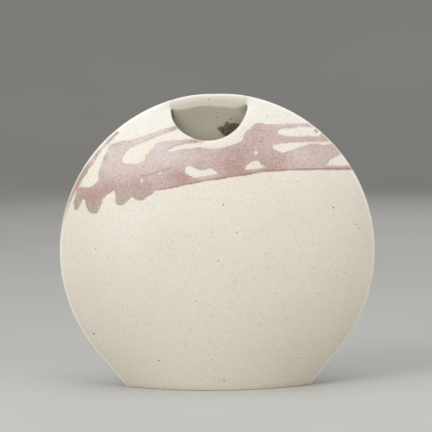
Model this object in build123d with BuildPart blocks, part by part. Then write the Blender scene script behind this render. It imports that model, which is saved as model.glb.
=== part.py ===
from build123d import *

import os
from math import atan2, cos, radians, sin, sqrt, tan

# Sizes, in millimetres and degrees

# Outline from the front: a disc that runs into two straight flanks and is cut flat at the foot
disc_diameter = 300.0
height = 279.0
flank_angle = 39.5  # lean of the flanks from the vertical

# Swell from the side: one arc from the foot over the belly to the top edge
belly_depth = 90.0
foot_depth = 64.0

# Slabs and the joint between them
wall = 5.5
edge_blunting = 2.0  # how far the knife edge of the two swells is trimmed back
edge_softness = 0.8  # share of the trimmed edge that is rounded over
joint_trim = 1.5  # how far the joint face runs past the inner crease
slip_layer = 0.2  # gap that the joining slip fills round the floor and the coils
foot_chamfer = 0.7

# Mouth: a half-round cut through the front wall alone, left of centre
mouth_width = 74.0
mouth_drop = 33.0
mouth_sink = 11.5  # depth of the mouth's widest line below the top edge
mouth_shift = -7.5
lip_rounding = 0.55

# Floor, let in between the walls
floor_thickness = 7.0
floor_recess = 2.0

# Coils of clay pressed into the inner seams
seam_coil_radius = 8.0
seam_coil_gap = 5.0  # how far each seam coil stops short of the mouth
floor_coil_radius = 7.0

# Lens sections that the swells are lofted through
section_count = 15
section_overrun = 0.3  # height of a stack's end past what is kept of it
foot_overrun = 3.0  # depth below the foot at which the hollow's stack starts

# Values that follow from the sizes
disc_radius = disc_diameter / 2
disc_centre_z = height - disc_radius
flank_lean = radians(flank_angle)
knife_top = height + edge_blunting
floor_top = floor_recess + floor_thickness
mouth_level = height - mouth_sink
mouth_bottom = mouth_level - mouth_drop
mouth_left = mouth_shift - mouth_width / 2
mouth_right = mouth_shift + mouth_width / 2


def arc_over_belly(foot, belly, top):
    """Height of the belly, depth of the centre behind the joint and radius of the side arc
    that starts at half-depth foot, swells to half-depth belly and closes at height top."""
    share = foot / belly
    rise = (top - sqrt(top**2 - share * (top**2 - foot * (belly - foot)))) / share
    behind = (rise**2 / belly - belly) / 2
    return top - rise, behind, behind + belly


belly_z, arc_behind, arc_radius = arc_over_belly(foot_depth / 2, belly_depth / 2, knife_top)
edge_angle = atan2(knife_top - belly_z, arc_behind)  # between the joint and either swell, at the top
edge_rounding = edge_softness * edge_blunting * tan(edge_angle) / tan((radians(90) - edge_angle) / 2)
joint_width = wall / sin(edge_angle) - edge_blunting + joint_trim


def half_width(z, inset):
    """Half the outline's width at height z, with the outline drawn in by inset."""
    radius = disc_radius - inset
    above = z - disc_centre_z
    if above < -radius * sin(flank_lean):
        return (radius + above * sin(flank_lean)) / cos(flank_lean)
    return sqrt(radius**2 - above**2)


def half_depth(z, inset):
    """Half the swell's depth at height z, with the side arc drawn in by inset."""
    return sqrt((arc_radius - inset) ** 2 - (z - belly_z) ** 2) - arc_behind


def lens_size(z, inset):
    """Half-width and half-depth of the lens that lies inset inside the outer lens at height z."""
    wide = half_width(z, -edge_blunting)
    deep = half_depth(z, 0)
    bow_radius = (wide**2 + deep**2) / (2 * deep)
    return sqrt((bow_radius - inset) ** 2 - (bow_radius - deep) ** 2), half_depth(z, inset)


def lens_section(z, inset):
    """The lens at height z, as a sketch."""
    wide, deep = lens_size(z, inset)
    with BuildSketch(Plane.XY.offset(z)) as section:
        with BuildLine():
            ThreePointArc((-wide, 0), (0, -deep), (wide, 0))
            ThreePointArc((wide, 0), (0, deep), (-wide, 0))
        make_face()
    return section.sketch


def section_heights(bottom, top):
    """Heights from bottom to top that lie closer together near both ends."""
    turn = radians(180) / (section_count - 1)
    return [bottom + (top - bottom) * (1 - cos(turn * step)) / 2 for step in range(section_count)]


def flank_ends(side, bottom, inset):
    """Start of one flank at height bottom and the point where it runs into the disc, with side -1
    on the left. The two are one point where the disc itself reaches down to bottom."""
    radius = disc_radius - inset
    start = (side * half_width(bottom, inset), bottom)
    tangent_z = disc_centre_z - radius * sin(flank_lean)
    if tangent_z <= bottom:
        return start, start
    return start, (side * radius * cos(flank_lean), tangent_z)


def outline(inset):
    """The outline from the front, drawn in by inset and run on below the foot, as a sketch."""
    left_start, left_tangent = flank_ends(-1, -foot_overrun, inset)
    right_start, right_tangent = flank_ends(1, -foot_overrun, inset)
    corners = [left_tangent, left_start, right_start, right_tangent]
    with BuildSketch(Plane.XZ) as shape:
        with BuildLine():
            Polyline(*dict.fromkeys(corners))
            ThreePointArc(right_tangent, (0, height - inset), left_tangent)
        make_face()
    return shape.sketch


# Outer swell of the closed form, with its knife edge trimmed and rounded over, and the foot chamfered
with BuildPart() as swell:
    swell_heights = section_heights(0, height + section_overrun)
    loft(sections=[lens_section(z, 0) for z in swell_heights])
    extrude(outline(0), amount=belly_depth, both=True, mode=Mode.INTERSECT)
    foot_face = swell.faces().sort_by(Axis.Z)[0]
    chamfer(foot_face.edges().sort_by(SortBy.LENGTH)[-2:], foot_chamfer)
    rim_edges = swell.edges().filter_by(lambda edge: edge.bounding_box().size.Z > foot_chamfer)
    fillet(rim_edges, edge_rounding)


def inner_swell(gap):
    """The space between the walls, gap clear of them and of the trimmed ends of their joint faces."""
    top = height - joint_width - gap + section_overrun
    heights = section_heights(-foot_overrun, top)
    with BuildPart() as space:
        loft(sections=[lens_section(z, wall + gap) for z in heights])
        extrude(outline(joint_width + gap), amount=belly_depth, both=True, mode=Mode.INTERSECT)
    return space.part


hollow = inner_swell(0)
filling = inner_swell(slip_layer)  # what the floor and the coils are cut from

# What is left of the filling above the floor
with BuildPart() as room:
    add(filling)
    split(bisect_by=Plane.XY.offset(floor_top), keep=Keep.TOP)

# Front wall: the half in front of the joint, with the mouth cut down through its top edge
with BuildPart() as front_wall:
    add(swell.part)
    add(hollow, mode=Mode.SUBTRACT)
    split(bisect_by=Plane.XZ, keep=Keep.TOP)
    with BuildSketch(Plane.XZ):
        with Locations((mouth_shift, mouth_level)):
            Ellipse(mouth_width / 2, mouth_drop)
            Rectangle(mouth_width, height, align=(Align.CENTER, Align.MIN))
    extrude(amount=belly_depth, mode=Mode.SUBTRACT)
    outer_lip = front_wall.edges().sort_by_distance((mouth_shift, -belly_depth, mouth_bottom))[0]
    fillet(outer_lip, lip_rounding)
front_wall.part.label = "front_wall"

# Rear wall: the half behind the joint, whole, so that its joint face shows above the mouth
with BuildPart() as rear_wall:
    add(swell.part)
    add(hollow, mode=Mode.SUBTRACT)
    split(bisect_by=Plane.XZ, keep=Keep.BOTTOM)
rear_wall.part.label = "rear_wall"

# Floor: fills the hollow from just above the foot
with BuildPart() as floor_slab:
    add(filling)
    with BuildSketch(Plane.XY.offset(floor_recess)):
        Rectangle(disc_diameter, belly_depth)
    extrude(amount=floor_thickness, mode=Mode.INTERSECT)
floor_slab.part.label = "floor_slab"


def seam_coil(side, end_x, label):
    """A coil pressed into the inner seam on one side, from the floor up to end_x beside the mouth."""
    start, tangent_point = flank_ends(side, floor_recess, joint_width)
    seam_radius = disc_radius - joint_width
    end = (end_x, disc_centre_z + sqrt(seam_radius**2 - end_x**2))
    with BuildPart() as coil:
        with BuildLine(Plane.XZ) as seam:
            if start != tangent_point:
                Line(start, tangent_point)
            RadiusArc(tangent_point, end, -side * seam_radius)
        with BuildSketch(Plane(seam.line @ 0, z_dir=seam.line % 0)):
            Circle(seam_coil_radius)
        sweep()
        with Locations(seam.line @ 1):
            Sphere(seam_coil_radius)
        add(room.part, mode=Mode.INTERSECT)
    coil.part.label = label
    return coil.part


left_seam_coil = seam_coil(-1, mouth_left - seam_coil_gap, "left_seam_coil")
right_seam_coil = seam_coil(1, mouth_right + seam_coil_gap, "right_seam_coil")


def floor_coil(side, label):
    """A coil pressed into the corner between the floor and one wall, with side -1 at the front."""
    wide, deep = lens_size(floor_top, wall)
    with BuildPart() as coil:
        with BuildLine(Plane.XY.offset(floor_top)) as seam:
            ThreePointArc((-wide, 0), (0, side * deep), (wide, 0))
        with BuildSketch(Plane(seam.line @ 0, z_dir=seam.line % 0)):
            Circle(floor_coil_radius)
        sweep()
        add(room.part, mode=Mode.INTERSECT)
        add([left_seam_coil, right_seam_coil], mode=Mode.SUBTRACT)
        split(bisect_by=Plane.XZ, keep=Keep.TOP if side < 0 else Keep.BOTTOM)
    coil.part.label = label
    return coil.part


front_floor_coil = floor_coil(-1, "front_floor_coil")
rear_floor_coil = floor_coil(1, "rear_floor_coil")

pieces = [
    front_wall.part,
    rear_wall.part,
    floor_slab.part,
    left_seam_coil,
    right_seam_coil,
    front_floor_coil,
    rear_floor_coil,
]
os.makedirs("parts", exist_ok=True)
for piece in pieces:
    export_step(piece, f"parts/{piece.label}.step")
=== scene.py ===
import math

import bpy
import numpy as np
from mathutils import Matrix, Vector
from mathutils.geometry import delaunay_2d_cdt


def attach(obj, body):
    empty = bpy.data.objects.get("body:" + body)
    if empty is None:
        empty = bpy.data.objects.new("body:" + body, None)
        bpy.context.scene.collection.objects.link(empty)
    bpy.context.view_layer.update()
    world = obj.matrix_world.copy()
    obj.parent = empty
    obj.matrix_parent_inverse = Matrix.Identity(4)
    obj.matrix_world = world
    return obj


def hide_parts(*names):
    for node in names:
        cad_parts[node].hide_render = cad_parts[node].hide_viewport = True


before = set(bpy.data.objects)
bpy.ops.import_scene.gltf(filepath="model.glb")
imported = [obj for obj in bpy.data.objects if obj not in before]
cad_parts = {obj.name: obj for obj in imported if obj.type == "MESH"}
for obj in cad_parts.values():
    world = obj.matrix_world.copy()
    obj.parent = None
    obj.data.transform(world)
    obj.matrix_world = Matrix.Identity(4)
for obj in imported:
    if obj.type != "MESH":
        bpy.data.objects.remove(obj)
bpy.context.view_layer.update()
scene = bpy.context.scene
scene.view_settings.view_transform = "Standard"
mm = 0.001
print("frame loaded")

# the pot's rule, in millimetres and degrees, as in the solids
pot = {
    "discRadius": 150.0,
    "height": 279.0,
    "flankAngle": 39.5,
    "bellyHalfDepth": 45.0,
    "footHalfDepth": 32.0,
    "edgeBlunting": 2.0,
    "wall": 5.5,
    "noseRadius": 2.1,  # round of the rim where the two swells meet
    "noseBlend": 0.5,
    "jointSet": 0.45,  # pushes the inner crease in, which widens the joint face
    "creaseSoftness": 0.5,
    "exposedSet": 0.85,  # round of the rear rim where the mouth bares it
    "exposedWidth": 2.6,
    "unevenness": 0.35,  # hand-made waviness of the slabs
    "unevenScale": 16.0,
    "glazeRelief": 0.14,  # how far the poured glaze stands up
    "glazeRun": 1.6,  # distance over which its edge rises
    "noseSlope": 3.0,  # how steeply the nose's limit runs on past its round
    "baredIn": 1.5,  # the bared rear rim starts this far inside the mouth's sides
    "baredFade": 6.0,
    "waveFrom": 1.0,  # the waviness sets in at this distance from the rim
    "waveFull": 20.0,
    "reliefFrom": 0.4,  # and the glaze's relief at this one
    "reliefFull": 3.0,
    "sharpAngle": 50.0,  # creases sharper than this stay sharp
}

# the glaze narrows the solids' mouth a little, mostly on its left
mouth = {
    "width": 72.6,
    "drop": 32.6,
    "sink": 11.5,
    "shift": -6.8,
    "slant": 1.5,  # how far the lower part of the cut lies further left
    "slantReach": 11.0,
}

centreZ = pot["height"] - pot["discRadius"]
lean = math.radians(pot["flankAngle"])
knifeTop = pot["height"] + pot["edgeBlunting"]
mouthLevel = pot["height"] - mouth["sink"]
mouthLeft, mouthRight = mouth["shift"] - mouth["width"] / 2, mouth["shift"] + mouth["width"] / 2
leftTip = centreZ + math.sqrt(pot["discRadius"] ** 2 - mouthLeft**2)
rightTip = centreZ + math.sqrt(pot["discRadius"] ** 2 - mouthRight**2)

# side arc over the belly: foot, belly and knife top give its height, centre and radius
share = pot["footHalfDepth"] / pot["bellyHalfDepth"]
footGain = pot["footHalfDepth"] * (pot["bellyHalfDepth"] - pot["footHalfDepth"])
rise = (knifeTop - math.sqrt(knifeTop**2 - share * (knifeTop**2 - footGain))) / share
bellyZ = knifeTop - rise
arcBehind = (rise**2 / pot["bellyHalfDepth"] - pot["bellyHalfDepth"]) / 2
arcRadius = arcBehind + pot["bellyHalfDepth"]


def linear(red, green, blue):
    # colour as seen on screen, 0 to 255, to the linear values that sockets take
    parts = [value / 255 for value in (red, green, blue)]
    return tuple(p / 12.92 if p <= 0.04045 else ((p + 0.055) / 1.055) ** 2.4 for p in parts) + (1.0,)


def ease(value):
    value = np.clip(value, 0, 1)
    return value * value * (3 - 2 * value)


class Calc:
    # arithmetic on a node socket, so that a rule reads as a formula
    def __init__(self, tree, socket):
        self.tree, self.socket = tree, socket

    def do(self, operation, *others, clamp=False):
        node = self.tree.nodes.new("ShaderNodeMath")
        node.operation, node.use_clamp = operation, clamp
        for slot, value in zip(node.inputs, (self, *others)):
            if isinstance(value, Calc):
                self.tree.links.new(value.socket, slot)
            else:
                slot.default_value = value
        return Calc(self.tree, node.outputs[0])

    def __add__(self, other):
        return self.do("ADD", other)

    def __sub__(self, other):
        return self.do("SUBTRACT", other)

    def __mul__(self, other):
        return self.do("MULTIPLY", other)

    def __truediv__(self, other):
        return self.do("DIVIDE", other)

    def root(self):
        return self.do("MAXIMUM", 0.0).do("SQRT")

    def between(self, low, high):
        # 0 at low, 1 at high, eased
        if isinstance(low, Calc):
            share = (self - low) / (low * -1.0 + high)
        elif isinstance(high, Calc):
            share = (self - low) / (high - low)
        else:
            share = (self - low) * (1.0 / (high - low))
        share = share.do("ADD", 0.0, clamp=True)
        return share * share * (share * -2.0 + 3.0)


# flat slabs, cut out and netted before they swell


def rimDistance(x, z):
    # distance in from the outline, whose lower sides are the flanks
    above = z - centreZ
    along = -np.abs(x) * math.sin(lean) - above * math.cos(lean)
    disc = pot["discRadius"] - np.hypot(x, above)
    flank = pot["discRadius"] + above * math.sin(lean) - np.abs(x) * math.cos(lean)
    return np.where(along > 0, flank, disc)


slab = {
    "rimStep": 1.3,
    "mouthStep": 1.0,
    "footStep": 2.0,
    "footRound": 0.8,
    "footFade": 9.0,
    "wallAcross": 6.0,  # wall as cut through, front to back
    "rimRings": (0.05, 0.18, 0.4, 0.7, 1.1, 1.6, 2.3, 3.3, 4.6),
    "lipRings": (0.7, 1.6, 2.8),
    "fineFrom": 158.0,  # above this the net is fine, for the poured glaze
    "fineStep": 1.15,
    "coarseStep": 2.4,
    "creaseRings": (4.0, 7.5, 9.0, 10.0, 10.6, 11.2, 11.8, 12.6, 14.0, 16.0),
    "innerStep": 4.5,
    "splashArea": (232.0, 256.0, -6.0, 28.0),  # from and to z, from and to x
    "baredRings": (0.15, 0.4, 0.75, 1.2, 1.8, 2.5, 3.2),  # where the mouth bares the rear rim
    "baredMargin": 6.0,
    "netFrom": 1.0,
    "fineGap": 0.6,  # between the coarse net and the fine one
    "netClear": 0.6,  # share of a step that the net keeps clear of the rings
    "ringShare": 0.7,  # a ring keeps this share of its depth, and ringClear, from the mouth and the foot
    "ringClear": 0.35,
    "lipClear": 0.4,
    "creaseClear": 3.0,
    "innerClear": 4.0,
    "outerTurns": 8,  # loops over the outer edge
    "innerTurns": (0, 22, 45, 68),  # degrees of the loops over the inner edge
    "slopeStep": 0.1,  # for the slope of the mouth's slant
}

lip = {
    "outer": 1.9,  # rounding of the lip where the wall stands free
    "inner": 1.3,
    "tipIn": 2.0,  # beside the mouth the wall slopes into the joint face, from here
    "tipOver": 1.8,  # to here
    "tipDown": 5.5,
    "tipBlend": 4.5,
    "thinTo": 0.42,  # share of the wall's swell that is left at the tips
    "thinReach": 9.0,
    "thinBelow": 3.0,  # the thinning's middle lies this far below a tip
    "thinSquash": 0.8,
    "tipRise": 0.6,  # how fast the rounding sets in below a tip
}


def lipShape(down):
    # outer and inner inset of the lip and the share of sloping tip, at a depth below the mouth's tip
    down = np.maximum(down, 0)
    tip = 1 - ease((down - lip["tipDown"]) / lip["tipBlend"])
    outer = (lip["tipIn"] * tip + lip["outer"] * (1 - tip)) * np.tanh(lip["tipRise"] * down)
    return outer, lip["inner"] * (1 - tip), tip


def lipReach(x, z):
    return lipShape(np.where(x > mouth["shift"], rightTip, leftTip) - z)[0]


def spread(start, end, step):
    # parameter values from start to end, the end left out, spaced near step
    count = max(2, round(abs(end - start) / step))
    return np.linspace(start, end, count, endpoint=False)


def mouthSlant(z):
    # how far left the cut lies at a height, more towards its bottom
    below = np.maximum(mouthLevel - z, 0) / mouth["slantReach"]
    return mouth["slant"] * (1 - np.exp(-below * below))


def slabEdge(withMouth):
    # round the slab: x, z, inward normal, outer and inner inset and sloping share of each point
    radius = pot["discRadius"]
    nudge = slab["slopeStep"]
    footHalf = (radius - centreZ * math.sin(lean)) / math.cos(lean)
    turnX, turnZ = radius * math.cos(lean), centreZ - radius * math.sin(lean)
    flankStep = slab["rimStep"] / math.hypot(turnX - footHalf, turnZ)
    rows = []

    def disc(first, last):
        for angle in spread(first, last, slab["rimStep"] / radius):
            c, s = math.cos(angle), math.sin(angle)
            rows.append((radius * c, centreZ + radius * s, -c, -s, 0, 0, 0))

    for x in spread(-footHalf, footHalf, slab["footStep"]):
        soft = slab["footRound"] * ease((footHalf - abs(x)) / slab["footFade"])
        rows.append((x, 0.0, 0.0, 1.0, soft, soft, 0))
    for s in spread(0, 1, flankStep):
        rows.append((footHalf + (turnX - footHalf) * s, turnZ * s, -math.cos(lean), math.sin(lean), 0, 0, 0))
    if withMouth:
        half = mouth["width"] / 2
        disc(-lean, math.acos(mouthRight / radius))
        for z in spread(rightTip, mouthLevel, slab["mouthStep"] / 2):
            rows.append((mouthRight, z, 1.0, 0.0, *lipShape(rightTip - z)))
        for angle in spread(0, -math.pi, slab["mouthStep"] / half):
            c, s = math.cos(angle), math.sin(angle)
            z = mouthLevel + mouth["drop"] * s
            x = mouth["shift"] + half * c - mouthSlant(z)
            tilt = (mouthSlant(z + nudge) - mouthSlant(z - nudge)) / (2 * nudge)
            normal = Vector((c / half, s / mouth["drop"] + tilt * c / half)).normalized()
            rows.append((x, z, *normal, *lipShape((rightTip if c > 0 else leftTip) - z)))
        for z in spread(mouthLevel, leftTip, slab["mouthStep"] / 2):
            rows.append((mouthLeft, z, -1.0, 0.0, *lipShape(leftTip - z)))
        disc(math.acos(mouthLeft / radius), math.pi + lean)
    else:
        disc(-lean, math.pi + lean)
    for s in spread(1, 0, flankStep):
        rows.append((-footHalf - (turnX - footHalf) * s, turnZ * s, math.cos(lean), math.sin(lean), 0, 0, 0))
    return np.array(rows, dtype=float)


def mouthDistance(x, z):
    # rough distance out from the mouth's edge, into the clay
    half = mouth["width"] / 2
    dx, dz = (x + mouthSlant(z) - mouth["shift"]) / half, (z - mouthLevel) / mouth["drop"]
    length = np.hypot(dx, dz)
    slope = np.hypot(dx / half, dz / mouth["drop"])
    below = (length - 1) * length / np.maximum(slope, 1e-6)
    return np.where(z > mouthLevel, np.abs(x - mouth["shift"]) - half, below)


def hexPoints(step, low, high):
    points = []
    for number, z in enumerate(np.arange(low, high, step * math.sqrt(3) / 2)):
        x = np.arange(-pot["discRadius"], pot["discRadius"], step) + (step / 2 if number % 2 else 0)
        points.append(np.stack([x, np.full_like(x, z)], axis=1))
    return np.concatenate(points)


def sheetNet(border, inner):
    # triangles inside the border loop, which also use the inner points
    count = len(border)
    edges = [(i, (i + 1) % count) for i in range(count)]
    net = delaunay_2d_cdt([Vector(p) for p in np.concatenate([border, inner])], edges, [], 1, 1e-6)
    home = {source: index for index, sources in enumerate(net[3]) for source in sources}
    return np.array([p[:] for p in net[0]]), [tuple(face) for face in net[2]], [home[i] for i in range(count)]


def setAttribute(mesh, name, values):
    layer = mesh.attributes.new(name, "FLOAT", "POINT")
    layer.data.foreach_set("value", np.asarray(values, dtype=np.float32))


def addObject(name, data):
    holder = bpy.data.objects.new(name, data)
    scene.collection.objects.link(holder)
    return holder


def tipThinning(x, z):
    # the wall runs out thin at both tips of the mouth
    thin = np.ones_like(x)
    for tipX, tipZ in ((mouthLeft, leftTip), (mouthRight, rightTip)):
        away = np.hypot(x - tipX, (z - tipZ + lip["thinBelow"]) * lip["thinSquash"]) / lip["thinReach"]
        thin -= (1 - lip["thinTo"]) * np.exp(-away * away)
    return thin


joint = {
    # hand-cut waver of the joint face under the mouth, wider above zero: x, reach and amount
    "sway": [(4, 9, 0.75), (16, 6, 0.9), (-27, 7, 0.3), (-47, 9, -1.6), (33, 9, -1.9)],
    "drop": 0.75,  # how far the bared rim is rubbed down, at dropX and over dropReach
    "dropX": -1.0,
    "dropReach": 17.0,
    "dropDeep": 12.0,
}


def jointSway(x, z):
    sway = sum(amount * np.exp(-(((x - middle) / reach) ** 2)) for middle, reach, amount in joint["sway"])
    return sway * mm * (z > centreZ)


def rimDrop(x, z):
    near = 1 - ease(rimDistance(x, z) / joint["dropDeep"])
    across = np.exp(-(((x - joint["dropX"]) / joint["dropReach"]) ** 2))
    return joint["drop"] * mm * near * across * (z > centreZ)


def flatSlab(name, withMouth):
    edge = slabEdge(withMouth)
    base, normal = edge[:, :2], edge[:, 2:4]
    outerInset, innerInset, tip = edge[:, 4], edge[:, 5], edge[:, 6]
    over = lip["tipOver"] * tip * np.tanh(outerInset)
    onRim = (np.abs(rimDistance(*base.T)) < 1e-6) & (outerInset == 0)

    def mouthGap(x, z):
        return mouthDistance(x, z) - lipReach(x, z) if withMouth else np.full_like(x, 1e3)

    # rings that follow the rim, then the lip and the foot, then a net of hexagons
    rings = []
    for depth in slab["rimRings"]:
        ring = base[onRim] + normal[onRim] * depth
        gap = np.minimum(mouthGap(*ring.T), ring[:, 1] - slab["footRound"])
        rings.append(ring[gap > slab["ringShare"] * depth + slab["ringClear"]])
    rimDepth = slab["rimRings"][-1]
    for depth in slab["lipRings"]:
        ring = base[~onRim] + normal[~onRim] * (outerInset[~onRim, None] + depth)
        rings.append(ring[rimDistance(*ring.T) > rimDepth + slab["lipClear"]])
    lipDepth = slab["lipRings"][-1]
    for step, low, high in (
        (slab["coarseStep"], slab["netFrom"], slab["fineFrom"]),
        (slab["fineStep"], slab["fineFrom"] + slab["fineGap"], pot["height"]),
    ):
        net, clear = hexPoints(step, low, high), slab["netClear"] * step
        x, z = net.T
        keep = (rimDistance(x, z) > rimDepth + clear) & (mouthGap(x, z) > lipDepth + clear)
        rings.append(net[keep & (z > slab["footRound"] + lipDepth + step / 2)])
    outerXz, outerFaces, outerLoop = sheetNet(base + normal * outerInset[:, None], np.concatenate(rings))

    rings = []
    for depth in slab["creaseRings"]:
        ring = base[onRim][::2] + normal[onRim][::2] * depth
        rings.append(ring[np.minimum(mouthGap(*ring.T), ring[:, 1]) > slab["creaseClear"]])
    if not withMouth:  # fine rings where the mouth bares the rear rim
        x, z = base.T
        margin = slab["baredMargin"]
        bared = onRim & (z > centreZ) & (x > mouthLeft - margin) & (x < mouthRight + margin)
        for depth in slab["baredRings"]:
            rings.append(base[bared] + normal[bared] * depth)
    splashLow, splashHigh, splashLeft, splashRight = slab["splashArea"]
    clear = slab["innerClear"]
    net = hexPoints(slab["innerStep"], clear, pot["height"])
    x, z = net.T
    keep = (rimDistance(x, z) > slab["creaseRings"][-1] + clear / 2) & (mouthGap(x, z) > clear)
    if not withMouth:  # and a fine net under the splash
        keep &= (z < splashLow) | (z > splashHigh) | (x < splashLeft) | (x > splashRight)
        fine = hexPoints(slab["fineStep"], splashLow + 1, splashHigh - 1)
        rings.append(fine[(fine[:, 0] > splashLeft + 1) & (fine[:, 0] < splashRight - 1)])
    rings.append(net[keep])
    innerEdge = base + normal * (innerInset - over)[:, None]
    innerXz, innerFaces, innerLoop = sheetNet(innerEdge, np.concatenate(rings))

    # loops that turn over the edge, from the outer sheet to the inner one
    loops = []
    for turn in np.linspace(0, math.pi / 2, slab["outerTurns"])[1:]:
        sloped = 2 * turn / math.pi
        rounded = outerInset * (1 - math.sin(turn)), outerInset / slab["wallAcross"] * (1 - math.cos(turn))
        loops.append((
            rounded[0] * (1 - tip) + outerInset * (1 - sloped) * tip - over * sloped,
            rounded[1] * (1 - tip) + ease(sloped) * tip,
        ))
    for turn in np.radians(slab["innerTurns"]):
        inset = innerInset * (1 - math.cos(turn)) - over
        loops.append((inset, 1 - innerInset / slab["wallAcross"] * (1 - math.sin(turn))))

    places, through, faces = [outerXz], [np.zeros(len(outerXz))], list(outerFaces)
    previous, start = np.array(outerLoop), len(outerXz)
    for inset, part in loops:
        places.append(base + normal * inset[:, None])
        through.append(part)
        current = np.arange(start, start + len(base))
        faces += list(zip(np.roll(previous, -1), previous, current, np.roll(current, -1)))
        previous, start = current, start + len(base)
    current = start + np.array(innerLoop)
    faces += list(zip(np.roll(previous, -1), previous, current, np.roll(current, -1)))
    places.append(innerXz)
    through.append(np.ones(len(innerXz)))
    faces += [tuple(start + i for i in reversed(face)) for face in innerFaces]

    xz, through = np.concatenate(places), np.concatenate(through)
    if not withMouth:  # the rear slab faces the other way
        faces = [tuple(reversed(face)) for face in faces]
    mesh = bpy.data.meshes.new(name)
    points = np.stack([xz[:, 0] * mm, np.zeros(len(xz)), xz[:, 1] * mm], axis=1)
    mesh.from_pydata(points.tolist(), [], [[int(i) for i in face] for face in faces])
    setAttribute(mesh, "through", through)
    setAttribute(mesh, "thin", tipThinning(*xz.T) if withMouth else np.ones(len(xz)))
    setAttribute(mesh, "sway", jointSway(*xz.T))
    setAttribute(mesh, "drop", np.zeros(len(xz)) if withMouth else rimDrop(*xz.T))
    return addObject(name, mesh), xz, through


# poured glaze, as strokes of x, z and half-width seen from the front

pour = {
    "soft": 1.6,  # how far strokes flow into each other
    "wobble": 0.22,
    "islandWobble": 0.5,  # share of it that islands take
    "spotSoft": 1.0,
    "lineSoft": 0.5,
    "splashSoft": 2.0,
    "outside": -40.0,  # where no stroke is near
    "limit": 20.0,
    "lipFrom": 0.3,  # the pour ends over the lip, past this share of the wall's thickness
    "overLip": 8.0,  # and as fast as this
    "splash": [
        [(1.2, 245.6, 0.7), (5.0, 244.4, 2.5), (9.0, 241.9, 4.0), (13, 245.4, 4.4), (16.6, 247.0, 3.0),
         (20, 247.4, 2.2)],
        [(10, 247, 2.8), (10.3, 249.8, 1.6)],
    ],
}

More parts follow.
